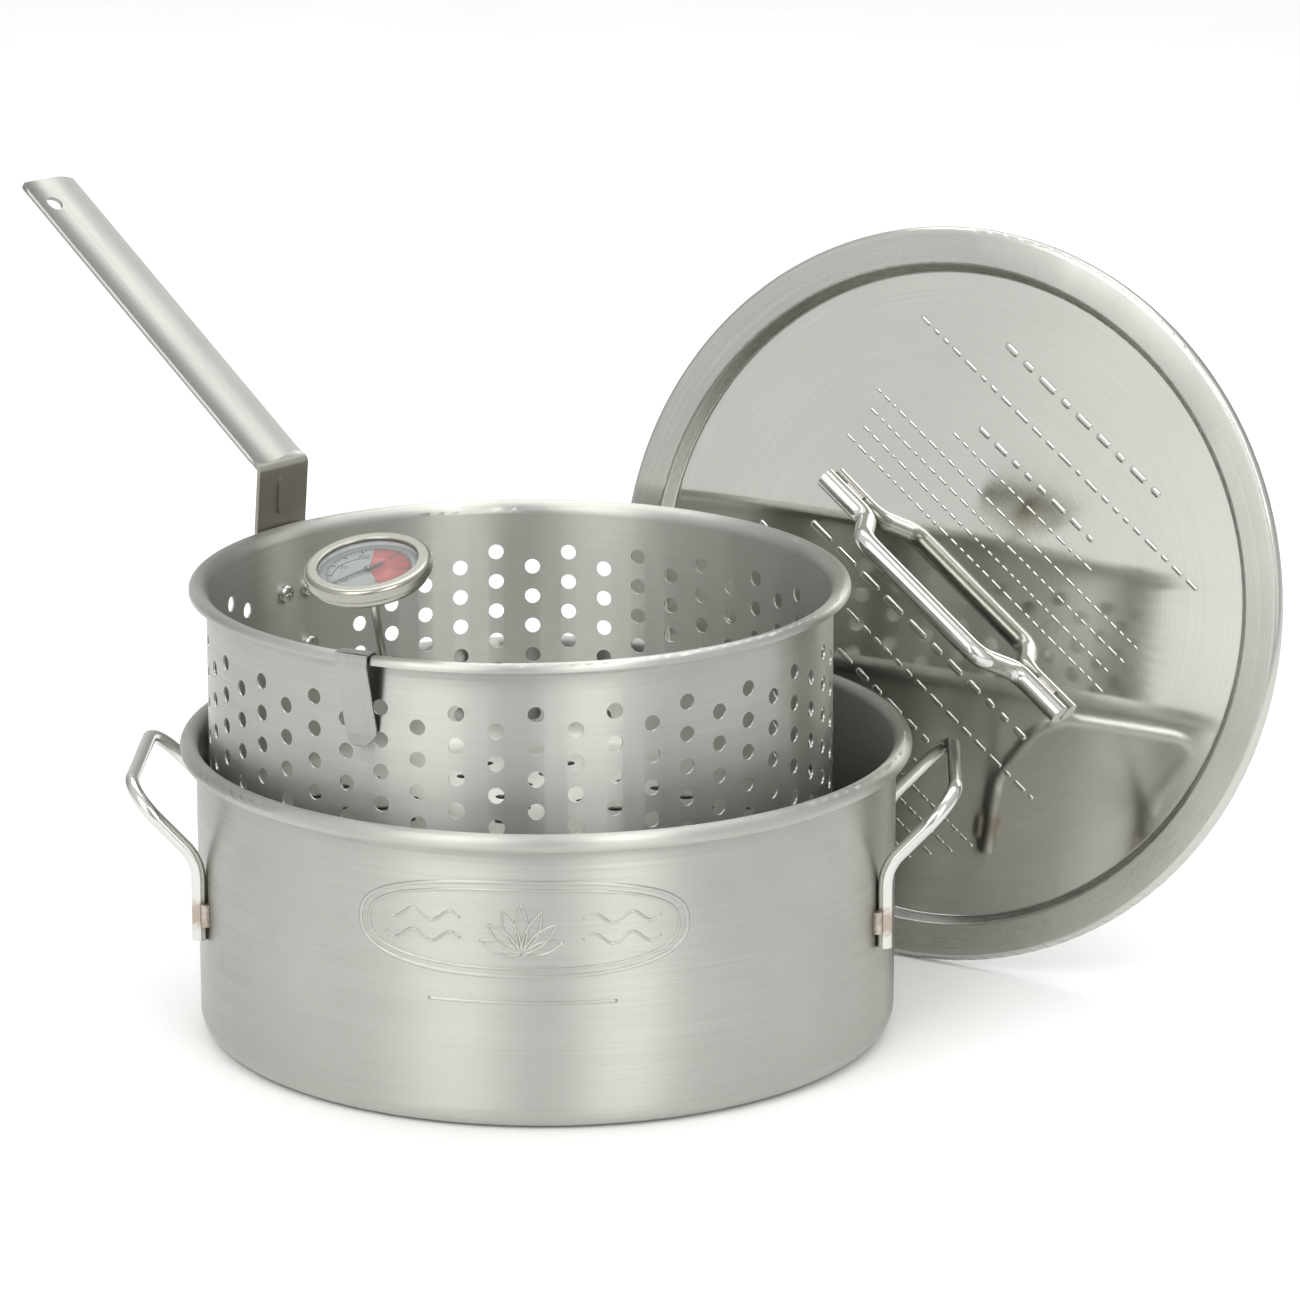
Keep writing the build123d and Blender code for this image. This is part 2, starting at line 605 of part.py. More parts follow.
def make_pointer():
    """Tapered needle with a tail, on a small hub."""
    low = below_top(POINTER_DEPTH[1])
    tip, middle, tail = POINTER_HALF_WIDTHS
    needle = Polyline(
        (POINTER_LENGTH, tip), (0, middle), (-POINTER_TAIL, tail),
        (-POINTER_TAIL, -tail), (0, -middle), (POINTER_LENGTH, -tip), close=True,
    )
    blade = extrude(make_face(needle), amount=POINTER_DEPTH[1] - POINTER_DEPTH[0])
    hub = extrude(Circle(POINTER_HUB_R), amount=POINTER_HUB_HEIGHT)
    pointer = Pos(0, 0, low) * (blade + hub) - rod(SHAFT_R + SEAT_GAP / 2, 0, HEAD_ABOVE_CLIP)
    return Rot(0, 0, POINTER_HEADING) * pointer


def make_case():
    """Cup with a flange that the bezel is crimped round, and a hole for the nut's neck."""
    flange_z = below_top(sum(FLANGE_DEPTH) / 2)
    floor_z = below_top(CASE_DEPTH) + HEAD_SHEET / 2
    side = CASE_R - HEAD_SHEET / 2
    points = [(CASE_HOLE_R, floor_z), (side, floor_z), (side, flange_z), (HEAD_PACK_R, flange_z)]
    return turned_sheet(points, CASE_ROUNDS, thickness=HEAD_SHEET)


def make_bezel():
    """Ring rolled over the lens in front and crimped round the case's flange behind."""
    top = below_top(BEZEL_INSET)
    side = BEZEL_R - BEZEL_INSET
    lip = BEZEL_OPENING_R + BEZEL_INSET
    crimp_z = below_top(BEZEL_HEIGHT) + HEAD_SHEET / 2
    points = [
        (lip, below_top(BEZEL_LIP)),
        (lip, top),
        (side, top),
        (side, crimp_z),
        (BEZEL_CRIMP_R, crimp_z),
    ]
    return turned_sheet(points, BEZEL_ROUNDS, thickness=HEAD_SHEET)


def head_ring(depths, inner_r=0.0):
    """Disc or ring of the stack inside the bezel, between two depths below its top."""
    low = below_top(depths[1])
    high = below_top(depths[0])
    if inner_r == 0:
        return rod(HEAD_PACK_R, low, high)
    return tube(HEAD_PACK_R, inner_r, low, high)


# --- Lid: its own frame has the band's front face at Z = 0 and X level -----------------
YAW_X = sin(radians(LID_YAW))
YAW_Y = cos(radians(LID_YAW))
TILT_OUT = cos(radians(LID_TILT))
TILT_UP = sin(radians(LID_TILT))
LID_NORMAL = (-YAW_X * TILT_OUT, -YAW_Y * TILT_OUT, TILT_UP)
LID_LEVEL = (YAW_Y, -YAW_X, 0)
LID_CLIMB = (YAW_X * TILT_UP, YAW_Y * TILT_UP, TILT_OUT)
LID_CENTRE = (
    LID_FOOT[0] + LID_R * LID_CLIMB[0],
    LID_FOOT[1] + LID_R * LID_CLIMB[1],
    LID_R * LID_CLIMB[2] + LID_EDGE * TILT_UP,
)
LID_PLACE = Plane(origin=LID_CENTRE, x_dir=LID_LEVEL, z_dir=LID_NORMAL).location


def make_lid_shell():
    """Shallow domed panel, sunk below a flat band with a turned-down edge."""
    half = SHEET / 2
    edge_z = -LID_RECESS - half
    dome_r = (LID_PANEL_R ** 2 + LID_DOME ** 2) / (2 * LID_DOME)
    reach = degrees(asin(LID_PANEL_R / dome_r))
    dome = CenterArc((0, edge_z + LID_DOME - dome_r), dome_r, 90 - reach, reach)
    band = FilletPolyline(
        dome @ 0,
        (LID_BAND_INNER_R, -half),
        (LID_R - half, -half),
        (LID_R - half, -LID_EDGE),
        radius=[LID_STEP_ROUND, LID_EDGE_ROUND],
    )
    middle = Wire([dome.edge(), *band.edges()])
    corner = middle.vertices().sort_by_distance(dome @ 0)[0]
    middle = middle.fillet_2d(LID_STEP_ROUND, [corner])
    return LID_PLACE * revolve(Plane.XZ * trace(middle, SHEET), Axis.Z)


def panel_height(radius):
    """Top face of the panel, close to the curve of the dome."""
    return LID_DOME * (1 - (radius / LID_PANEL_R) ** 2) - LID_RECESS


def lid_foot_height():
    return panel_height(LID_HANDLE_HALF - LID_HANDLE_FOOT) + LID_ROD_R + SEAT_GAP


def make_lid_handle():
    low = lid_foot_height()
    high = low + LID_GRIP_RISE
    side = [
        Vector(-LID_HANDLE_HALF, 0, low),
        Vector(LID_HANDLE_FOOT - LID_HANDLE_HALF, 0, low),
        Vector(-LID_GRIP_HALF, 0, high),
    ]
    mirrored = [Vector(-p.X, p.Y, p.Z) for p in reversed(side)]
    handle = bent_rod(side + mirrored, [LID_HANDLE_BEND_R] * 4, LID_ROD_R)
    return LID_PLACE * Rot(0, 0, LID_HANDLE_TURN) * handle


def make_lid_handle_welds():
    """A bead on each side of each end of the handle, against the panel."""
    middle = LID_HANDLE_HALF - LID_HANDLE_FOOT / 2
    skin = panel_height(middle - WELD_LENGTH / 2) + SEAT_GAP
    bead_z = skin + LID_WELD_LIFT
    panel = Pos(0, -LID_WELD_LIFT - LID_WELD_R) * Rectangle(4 * LID_WELD_R, 2 * LID_WELD_R)
    beads = []
    for end in (-middle, middle):
        for side in (-LID_WELD_FROM_ROD, LID_WELD_FROM_ROD):
            place = Plane(origin=(end, side, bead_z), x_dir=(0, 1, 0), z_dir=(1, 0, 0))
            rod_centre = (-side, lid_foot_height() - bead_z)
            beads.append(place * weld_bead(LID_WELD_R, LID_ROD_R, rod_centre, panel))
    turned = LID_PLACE * Rot(0, 0, LID_HANDLE_TURN)
    return solids_of([turned * bead for bead in beads])


# --- All nodes -------------------------------------------------------------------------
def make_nodes():
    nodes = {"pot_shell": make_pot_shell()}
    for name, heading in POT_HANDLE_HEADINGS.items():
        nodes[name] = make_pot_handle(heading)
    nodes["pot_handle_welds"] = make_pot_handle_welds()
    nodes["basket_shell"] = make_basket_shell()
    nodes["basket_handle"] = make_basket_handle()
    nodes["handle_screws"] = four_of(make_screw())
    nodes["handle_lock_washers"] = four_of(make_lock_washer())
    nodes["handle_nuts"] = four_of(make_nut())
    nodes["thermometer_clip"] = make_thermometer_clip()
    thermometer = {
        "thermometer_stem": make_stem(),
        "calibration_nut": make_calibration_nut(),
        "bimetal_coil": make_bimetal_coil(),
        "shaft_bush": make_shaft_bush(),
        "pointer_shaft": make_pointer_shaft(),
        "thermometer_pointer": make_pointer(),
        "thermometer_case": make_case(),
        "dial_plate": head_ring(DIAL_DEPTH, inner_r=DIAL_HOLE_R),
        "dial_spacer": head_ring(SPACER_DEPTH, inner_r=HEAD_PACK_R - SPACER_WIDTH),
        "thermometer_lens": head_ring(LENS_DEPTH),
        "thermometer_bezel": make_bezel(),
    }
    for name, shape in thermometer.items():
        nodes[name] = STEM_PLACE * shape
    nodes["lid_shell"] = make_lid_shell()
    nodes["lid_handle"] = make_lid_handle()
    nodes["lid_handle_welds"] = make_lid_handle_welds()
    return nodes


os.makedirs("parts", exist_ok=True)
for node_name, node_shape in make_nodes().items():
    export_step(node_shape, f"parts/{node_name}.step")
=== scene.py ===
import json
import random
from math import cos, pi, radians, sin

import bmesh
import bpy
from mathutils import Matrix, Vector


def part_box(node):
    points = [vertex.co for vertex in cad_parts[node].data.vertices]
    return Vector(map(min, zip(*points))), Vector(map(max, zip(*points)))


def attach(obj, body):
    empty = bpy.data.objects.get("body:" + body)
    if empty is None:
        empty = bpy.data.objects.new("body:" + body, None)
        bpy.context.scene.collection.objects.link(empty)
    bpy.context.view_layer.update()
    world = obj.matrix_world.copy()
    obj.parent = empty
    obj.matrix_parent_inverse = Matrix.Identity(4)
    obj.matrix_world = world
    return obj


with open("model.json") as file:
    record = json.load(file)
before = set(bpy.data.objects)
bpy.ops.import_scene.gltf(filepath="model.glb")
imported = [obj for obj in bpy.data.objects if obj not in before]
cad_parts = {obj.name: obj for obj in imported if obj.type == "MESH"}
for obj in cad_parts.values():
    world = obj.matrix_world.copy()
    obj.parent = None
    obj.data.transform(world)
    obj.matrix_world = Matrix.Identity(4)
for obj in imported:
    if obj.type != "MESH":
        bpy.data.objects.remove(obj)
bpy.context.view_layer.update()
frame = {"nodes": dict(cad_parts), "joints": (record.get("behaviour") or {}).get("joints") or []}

# Looks of the turkey fryer kit. Metres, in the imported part's frame: the pot stands at the
# origin, +Z is up and the camera looks along +Y. Headings are degrees from +X towards +Y.

random.seed(7)

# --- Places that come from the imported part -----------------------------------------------
JOINTS = {joint["name"]: joint for joint in frame["joints"]}
Z_AXIS = Vector((0, 0, 1))
POT_CENTRE = Vector((0, 0, 0))


def middle_of(node):
    """Middle of a CAD node's box."""
    low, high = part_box(node)
    return (low + high) / 2


BASKET_CENTRE = middle_of("basket_shell")
POT_R = 0.1532                      # outside of the pot's wall
GRIP_SLOPE = radians(36.6)          # of the basket handle's grip above level
LEG_SHADE_Z = (0.2215, 0.2285)       # its leg is painted darker and browner below this bend, as painted shade

LID_YAW = radians(30)
LID_TILT = radians(9.4)
LID_NORMAL = Vector((-sin(LID_YAW) * cos(LID_TILT), -cos(LID_YAW) * cos(LID_TILT), sin(LID_TILT)))
LID_LEVEL = Vector((cos(LID_YAW), -sin(LID_YAW), 0))
LID_CLIMB = LID_NORMAL.cross(LID_LEVEL)
LID_CENTRE = middle_of("lid_shell")
LID_PANEL_R = 0.1467
LID_HANDLE_TURN = radians(-35.7)    # of the lid's handle from level
LID_REACHES = [corner.co.dot(LID_NORMAL) for corner in frame["nodes"]["lid_shell"].data.vertices]
LID_FACE = LID_CENTRE + LID_NORMAL * (max(LID_REACHES) - LID_CENTRE.dot(LID_NORMAL))

STEM_AXIS = Vector(JOINTS["head_turn"]["axis"]).normalized()
STEM_POINT = Vector(JOINTS["head_turn"]["pos_m"])
BEZEL_TOP = 0.046                   # above that point, along the stem
DIAL_DEPTH = 0.00412                # dial's face below the top of the bezel
PRINT_LIFT = 0.00003


# --- Node helpers ------------------------------------------------------------------------
class Nodes:
    """Short ways to add nodes to a tree; each gives back the socket that carries its result."""

    def __init__(self, tree):
        self.tree = tree

    def node(self, kind, inputs=None, **settings):
        made = self.tree.nodes.new(kind)
        for key, value in settings.items():
            setattr(made, key, value)
        for key, value in (inputs or {}).items():
            if isinstance(value, bpy.types.NodeSocket):
                self.tree.links.new(value, made.inputs[key])
            else:
                made.inputs[key].default_value = value
        return made

    def maths(self, operation, *values):
        made = self.node("ShaderNodeMath", dict(enumerate(values)), operation=operation)
        return made.outputs[0]

    def vector(self, operation, *values, out="Vector"):
        made = self.node("ShaderNodeVectorMath", dict(enumerate(values)), operation=operation)
        return made.outputs[out]

    def scaled(self, vector, factor):
        made = self.node("ShaderNodeVectorMath", {0: vector, "Scale": factor}, operation="SCALE")
        return made.outputs[0]

    def place(self):
        """Where the shaded point is on its object."""
        return self.node("ShaderNodeTexCoord").outputs["Object"]

    def noise(self, vector, scale, detail=3.0, roughness=0.5):
        made = self.node("ShaderNodeTexNoise", {
            "Vector": vector, "Scale": scale, "Detail": detail, "Roughness": roughness,
        })
        return made.outputs["Fac"]

    def spread(self, value, low, high, from_low=0.3, from_high=0.7):
        """Stretch a value from one span to another; the first span suits what noise gives."""
        made = self.node("ShaderNodeMapRange", {
            "Value": value, "From Min": from_low, "From Max": from_high,
            "To Min": low, "To Max": high,
        })
        return made.outputs["Result"]

    def mix(self, share, first, second):
        """Blend two colours."""
        made = self.node("ShaderNodeMix", {0: share, 6: first, 7: second}, data_type="RGBA")
        return made.outputs[2]

    def mix_values(self, share, first, second):
        made = self.node("ShaderNodeMix", {0: share, 2: first, 3: second}, data_type="FLOAT")
        return made.outputs[0]

    def from_axis(self, centre, axis):
        """Distance from an axis through a centre."""
        offset = self.vector("SUBTRACT", self.place(), tuple(centre))
        return self.vector("LENGTH", self.vector("CROSS_PRODUCT", tuple(axis), offset), out="Value")

    def bump(self, height, depth, strength=1.0, normal=None):
        inputs = {"Height": height, "Distance": depth, "Strength": strength}
        if normal is not None:
            inputs["Normal"] = normal
        return self.node("ShaderNodeBump", inputs).outputs["Normal"]


class Look(Nodes):
    """One procedural material, built around its Principled shader."""

    def __init__(self, name):
        self.material = bpy.data.materials.new(name)
        self.material.use_nodes = True
        super().__init__(self.material.node_tree)
        self.shader = self.tree.nodes["Principled BSDF"]

    def join(self, socket, value):
        """Give a value or another node's result to a socket of the shader."""
        if isinstance(value, bpy.types.NodeSocket):
            self.tree.links.new(value, self.shader.inputs[socket])
        else:
            self.shader.inputs[socket].default_value = value


def tone(colour, factor):
    """A darker or lighter tone of a colour, opaque."""
    return (colour[0] * factor, colour[1] * factor, colour[2] * factor, 1.0)


def grey(bright):
    """An opaque grey."""
    return (bright, bright, bright, 1.0)


# --- Grain of the steel ------------------------------------------------------------------
STREAK_LENGTH_SCALE = 9.0           # along the brushing, per metre
STREAK_WIDTH_SCALE = 1500.0         # across it
UNTURNED_R = (0.006, 0.045)         # towards the axis, the brushing loses its direction here
ACROSS_BRUSHING = 0.25              # quarter turn: highlights spread across the brushing
SCRATCH_TURN = (0.4, 0.9, 0.35)
SCRATCH_SCALE = (30.0, 1400.0, 900.0)
SCRATCH_SPAN = (0.66, 0.72)         # noise above this is a scratch
SCRATCH_ROUGH = 0.08
SMEAR_ROUGH = (-0.015, 0.03)
BLOTCH_TONES = (0.94, 1.04)
STREAK_TONE = 0.86


def turned_grain(look, centre, axis, anisotropy):
    """Brushing round an axis: a stretched vector for noise; sets how the shader is stretched."""
    offset = look.vector("SUBTRACT", look.place(), tuple(centre))
    tangent = look.vector("CROSS_PRODUCT", tuple(axis), offset)
    radius = look.vector("LENGTH", tangent, out="Value")
    height = look.vector("DOT_PRODUCT", offset, tuple(axis), out="Value")
    across = look.maths("MULTIPLY", look.maths("ADD", radius, height), STREAK_WIDTH_SCALE)
    lift = look.node("ShaderNodeCombineXYZ", {"Z": across}).outputs[0]
    along = look.scaled(offset, STREAK_LENGTH_SCALE)
    look.join("Anisotropic", look.spread(radius, 0.0, anisotropy, *UNTURNED_R))
    look.join("Anisotropic Rotation", ACROSS_BRUSHING)
    look.join("Tangent", look.vector("NORMALIZE", tangent))
    return look.vector("ADD", along, lift)


def drawn_grain(look, direction):
    """Brushing or drawing lines along a straight direction: a stretched vector for noise."""
    along = look.vector("DOT_PRODUCT", look.place(), tuple(direction), out="Value")
    line = look.scaled(tuple(direction), along)
    across = look.scaled(look.vector("SUBTRACT", look.place(), line), STREAK_WIDTH_SCALE)
    return look.vector("ADD", across, look.scaled(line, STREAK_LENGTH_SCALE))


def add_steel(look, grain, colour, rough, streak_depth):
    """Brushed or polished steel with streaks, blotches and scratches; gives colour and roughness."""
    streaks = look.noise(grain, scale=1.0, detail=4.0, roughness=0.65)
    blotches = look.noise(look.place(), scale=14.0, detail=3.0)
    smears = look.noise(look.place(), scale=55.0, detail=5.0, roughness=0.6)
    blotch_tones = [tone(colour, factor) for factor in BLOTCH_TONES]
    blotched = look.mix(look.spread(blotches, 0.0, 1.0), *blotch_tones)
    streaked = look.mix(look.spread(streaks, 0.0, 0.5), blotched, tone(colour, STREAK_TONE))
    scratch_vector = look.node("ShaderNodeMapping", {
        "Vector": look.place(), "Rotation": SCRATCH_TURN, "Scale": SCRATCH_SCALE,
    }).outputs[0]
    scratches = look.noise(scratch_vector, scale=1.0, detail=2.0)
    rough_now = look.maths("ADD", look.spread(streaks, *rough), look.spread(smears, *SMEAR_ROUGH))
    rough_now = look.maths("ADD", rough_now, look.spread(scratches, 0.0, SCRATCH_ROUGH, *SCRATCH_SPAN))
    normal = look.bump(streaks, streak_depth, strength=0.6)
    normal = look.bump(scratches, streak_depth / 2, strength=0.15, normal=normal)
    look.join("Base Color", streaked)
    look.join("Metallic", 1.0)
    look.join("Roughness", rough_now)
    look.join("Normal", normal)
    return streaked, rough_now


# --- Materials ---------------------------------------------------------------------------
WALL_STEEL = (0.555, 0.555, 0.520)
WALL_STRETCH = 0.93                 # how much highlights are spread across the brushing
LID_STRETCH = 0.8
BEZEL_STRETCH = 0.4
ROD_STEEL = (0.66, 0.655, 0.625)
STRAP_STEEL = (0.385, 0.385, 0.360)
BEZEL_STEEL = (0.38, 0.375, 0.33)
# Painted shade: the strap's leg below the bend is mixed towards this darker brown.
LEG_SHADE_BROWN = (0.30, 0.28, 0.235, 1.0)
HEAT_BROWN = (0.34, 0.26, 0.20, 1.0)
WELD_GREY = (0.55, 0.52, 0.47, 1.0)
WELD_DARK = (0.36, 0.35, 0.32, 1.0)


def pot_steel():
    look = Look("pot_brushed_steel")
    grain = turned_grain(look, POT_CENTRE, Z_AXIS, WALL_STRETCH)
    add_steel(look, grain, WALL_STEEL, rough=(0.42, 0.50), streak_depth=0.000010)
    return look.material


def basket_steel():
    look = Look("basket_brushed_steel")
    grain = turned_grain(look, BASKET_CENTRE, Z_AXIS, WALL_STRETCH)
    add_steel(look, grain, WALL_STEEL, rough=(0.38, 0.47), streak_depth=0.000012)
    return look.material


PANEL_EDGE = (LID_PANEL_R - 0.002, LID_PANEL_R + 0.001)
PANEL_ROUGH = (0.055, 0.10)


def lid_steel():
    """Mirror-like panel inside a satin, turned band."""
    look = Look("lid_steel")
    grain = turned_grain(look, LID_CENTRE, LID_NORMAL, LID_STRETCH)
    _, satin = add_steel(look, grain, WALL_STEEL, rough=(0.24, 0.33), streak_depth=0.000008)
    on_band = look.spread(look.from_axis(LID_CENTRE, LID_NORMAL), 0.0, 1.0, *PANEL_EDGE)
    smears = look.noise(look.place(), scale=30.0, detail=5.0, roughness=0.6)
    mirror = look.spread(smears, *PANEL_ROUGH)
    look.join("Roughness", look.mix_values(on_band, mirror, satin))
    return look.material


ROD_GRAIN = (0.6, 0.5, 0.62)        # askew to the rods, so that streaks cross their bends too
HEAT_REACH = (0.003, 0.0075)        # from the weld: fully tinted, then no longer
HEAT_RAGGED = 0.002
HEAT_SHARE = 0.75


def rod_steel(name, tint_height=None):
    """Polished rod; near the welds it is tinted by heat."""
    look = Look(name)
    grain = drawn_grain(look, ROD_GRAIN)
    colour, _ = add_steel(look, grain, ROD_STEEL, rough=(0.10, 0.18), streak_depth=0.000004)
    if tint_height is not None:
        height = look.node("ShaderNodeSeparateXYZ", {0: look.place()}).outputs["Z"]
        away = look.maths("ABSOLUTE", look.maths("SUBTRACT", height, tint_height))
        wander = look.spread(look.noise(look.place(), scale=420.0), -HEAT_RAGGED, HEAT_RAGGED)
        share = look.spread(look.maths("ADD", away, wander), HEAT_SHARE, 0.0, *HEAT_REACH)
        look.join("Base Color", look.mix(share, colour, HEAT_BROWN))
    return look.material


def weld_steel(name, dark, light):
    """Rippled weld bead, mottled between two colours."""
    look = Look(name)
    heat = look.noise(look.place(), scale=260.0, detail=4.0)
    colour = look.mix(look.spread(heat, 0.0, 1.0), dark, light)
    ripples = look.node("ShaderNodeTexWave", {
        "Vector": look.place(), "Scale": 380.0, "Distortion": 2.5, "Detail": 2.0,
    }, bands_direction="Z").outputs["Fac"]
    look.join("Base Color", colour)
    look.join("Metallic", 1.0)
    look.join("Roughness", look.spread(heat, 0.28, 0.48))
    look.join("Normal", look.bump(ripples, depth=0.00015, strength=0.5))
    return look.material


# How far the leg's painted shade goes towards that brown.
LEG_SHADE_SHARE = 0.8


def strap_steel(handle_axis):
    """Satin strap; below the bend the leg is painted darker and browner than the grip, as painted shade.
    """
    look = Look("strap_satin_steel")
    grain = drawn_grain(look, handle_axis)
    colour, _ = add_steel(look, grain, STRAP_STEEL, rough=(0.38, 0.50), streak_depth=0.000010)
    height = look.node("ShaderNodeSeparateXYZ", {0: look.place()}).outputs["Z"]
    # Painted shade: the leg below the bend is drawn darker and browner.
    leg_shade = look.spread(height, LEG_SHADE_SHARE, 0.0, *LEG_SHADE_Z)
    look.join("Base Color", look.mix(leg_shade, colour, LEG_SHADE_BROWN))
    return look.material


def clip_steel():
    look = Look("clip_spring_steel")
    grain = drawn_grain(look, Z_AXIS)
    add_steel(look, grain, STRAP_STEEL, rough=(0.26, 0.36), streak_depth=0.000006)
    return look.material


def bezel_steel():
    look = Look("bezel_satin_steel")
    grain = turned_grain(look, STEM_POINT, STEM_AXIS, BEZEL_STRETCH)
    add_steel(look, grain, BEZEL_STEEL, rough=(0.22, 0.30), streak_depth=0.000004)
    return look.material


def stem_steel():
    look = Look("drawn_tube_steel")
    grain = drawn_grain(look, STEM_AXIS)
    add_steel(look, grain, WALL_STEEL, rough=(0.16, 0.26), streak_depth=0.000004)
    return look.material


SCREW_GRAIN = (0.3, 0.8, 0.5)


def screw_steel():
    look = Look("plated_screw_steel")
    grain = drawn_grain(look, SCREW_GRAIN)
    add_steel(look, grain, ROD_STEEL, rough=(0.13, 0.24), streak_depth=0.000005)
    return look.material


BRASS_DARK = (0.66, 0.50, 0.25, 1.0)
BRASS_LIGHT = (0.80, 0.66, 0.38, 1.0)


def brass():
    look = Look("plain_brass")
    tarnish = look.noise(look.place(), scale=300.0, detail=4.0)
    look.join("Base Color", look.mix(look.spread(tarnish, 0.0, 1.0), BRASS_DARK, BRASS_LIGHT))
    look.join("Metallic", 1.0)
    look.join("Roughness", look.spread(tarnish, 0.22, 0.36))
    look.join("Normal", look.bump(tarnish, depth=0.00002, strength=0.3))
    return look.material


PAINT_TONES = (0.93, 1.05)


def painted(name, colour):
    """Matt print or paint, with a fine grain."""
    look = Look(name)
    grain = look.noise(look.place(), scale=900.0, detail=3.0)
    tones = [tone(colour, factor) for factor in PAINT_TONES]
    look.join("Base Color", look.mix(look.spread(grain, 0.0, 1.0), *tones))
    look.join("Roughness", look.spread(grain, 0.38, 0.5))
    look.join("Normal", look.bump(grain, depth=0.000008, strength=0.3))
    return look.material


DIAL_DARK = (0.24, 0.26, 0.25, 1.0)
DIAL_LIGHT = (0.28, 0.30, 0.29, 1.0)


def dial_metal():
    """Printed light dial with a faint turned sheen."""
    look = Look("dial_face")
    radius = look.from_axis(STEM_POINT, STEM_AXIS)
    ring_vector = look.node("ShaderNodeCombineXYZ", {"X": radius}).outputs[0]
    rings = look.noise(ring_vector, scale=3500.0, detail=2.0)
    specks = look.noise(look.place(), scale=1200.0)
    look.join("Base Color", look.mix(look.spread(specks, 0.0, 1.0), DIAL_DARK, DIAL_LIGHT))
    look.join("Metallic", 0.25)
    look.join("Roughness", look.spread(rings, 0.34, 0.46))
    look.join("Normal", look.bump(rings, depth=0.000006, strength=0.4))
    return look.material


GLASS_CLEAR = (0.45, 0.48, 0.47, 1.0)
GLASS_HAZY = (0.55, 0.58, 0.57, 1.0)


def lens_glass():
    look = Look("lens_glass")
    haze = look.noise(look.place(), scale=120.0, detail=4.0)
    look.join("Base Color", look.mix(look.spread(haze, 0.0, 1.0), GLASS_CLEAR, GLASS_HAZY))
    look.join("Roughness", look.spread(haze, 0.03, 0.09))
    look.join("IOR", 1.5)
    look.join("Alpha", 0.12)
    return look.material


FLOOR_DARK = (0.90, 0.90, 0.895, 1.0)
FLOOR_LIGHT = (0.93, 0.93, 0.925, 1.0)


def floor_paint():
    look = Look("pale_floor")
    mottle = look.noise(look.place(), scale=6.0, detail=4.0)
    look.join("Base Color", look.mix(look.spread(mottle, 0.0, 1.0), FLOOR_DARK, FLOOR_LIGHT))
    look.join("Roughness", 0.7)
    return look.material


# --- Mesh helpers ------------------------------------------------------------------------
def add_piece(name, mesh, material, body):
    """A new piece of the scene that rides on a body and takes a slot's look."""
    piece = bpy.data.objects.new(name, mesh)
    bpy.context.scene.collection.objects.link(piece)
    mesh.materials.clear()
    mesh.materials.append(material)
    for face in mesh.polygons:
        face.use_smooth = True
    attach(piece, body)


def mesh_of(build, name):
    """A mesh from what build adds to an empty bmesh."""
    form = bmesh.new()
    build(form)
    bmesh.ops.recalc_face_normals(form, faces=form.faces)
    mesh = bpy.data.meshes.new(name)
    form.to_mesh(mesh)
    form.free()
    return mesh


def add_tube(form, points, normals, radii, sides=10, closed=False):
    """Tube along points; radii are its half width across and along each point's normal."""
    rings = []
    count = len(points)
    for index, (point, normal) in enumerate(zip(points, normals)):
        after = points[(index + 1) % count] if closed or index + 1 < count else point
        before = points[index - 1] if closed or index > 0 else point
        forward = (after - before).normalized()
        side = forward.cross(normal).normalized()
        ring = []
        for corner in range(sides):
            turn = 2 * pi * corner / sides
            reach = side * (radii[0] * cos(turn)) + normal * (radii[1] * sin(turn))
            ring.append(form.verts.new(point + reach))
        rings.append(ring)
    spans = range(count if closed else count - 1)
    for index in spans:
        here = rings[index]
        there = rings[(index + 1) % count]
        for corner in range(sides):
            following = (corner + 1) % sides
            form.faces.new((here[corner], here[following], there[following], there[corner]))
    if not closed:
        form.faces.new(rings[0])
        form.faces.new(list(reversed(rings[-1])))


def add_prism(form, outline, place, height):
    """Straight prism of a flat outline, from Z = 0 to height in the frame of place."""
    low = [form.verts.new(place @ Vector((x, y, 0))) for x, y in outline]
    high = [form.verts.new(place @ Vector((x, y, height))) for x, y in outline]
    count = len(outline)
    form.faces.new(list(reversed(low)))
    form.faces.new(high)
    for index in range(count):
        following = (index + 1) % count
        form.faces.new((low[index], low[following], high[following], high[index]))


# --- Embossing on the pot ----------------------------------------------------------------
EMBOSS_HEADING = -93.0
EMBOSS_Z = 0.0890
EMBOSS_SINK = 0.0001                # middle of the raised line below the wall's surface
EMBOSS_RULE_DROP = -0.0320          # of the plain rule under the ornament
EMBOSS_RULE_HALF = 0.040
LINE = 0.0009                       # half widths of the raised lines
RULE_LINE = 0.0007
THIN_LINE = 0.0006
LINE_RISE = 0.0006                  # half their height
LINE_STEPS = 60
CARTOUCHES = ((0.071, 0.0205, LINE), (0.067, 0.0172, THIN_LINE))   # half width, half height, line
CARTOUCHE_POWER = 2 / 2.6           # 1 would be an ellipse, 0 a rectangle
LEAF_ROOT = (0.0, -0.011)
LEAF_LENGTH = 0.022
LEAF_SHORTER = 0.0012               # each next leaf to the side
LEAF_WIDTH = 0.0052
LEAF_STEP = radians(-24)
LEAVES_BESIDE = 3                   # on each side of the middle one
WAVE_FROM = 0.026
WAVE_LENGTH = 0.033
WAVE_HEIGHT = 0.0022
WAVE_ROW = 0.0045                   # each row from the middle


def on_pot(across, up):
    """Point and outward normal on the pot's wall, from the middle of the embossing."""
    heading = radians(EMBOSS_HEADING) + across / POT_R
    normal = Vector((cos(heading), sin(heading), 0))
    point = normal * (POT_R - EMBOSS_SINK)
    point.z = EMBOSS_Z + up
    return point, normal


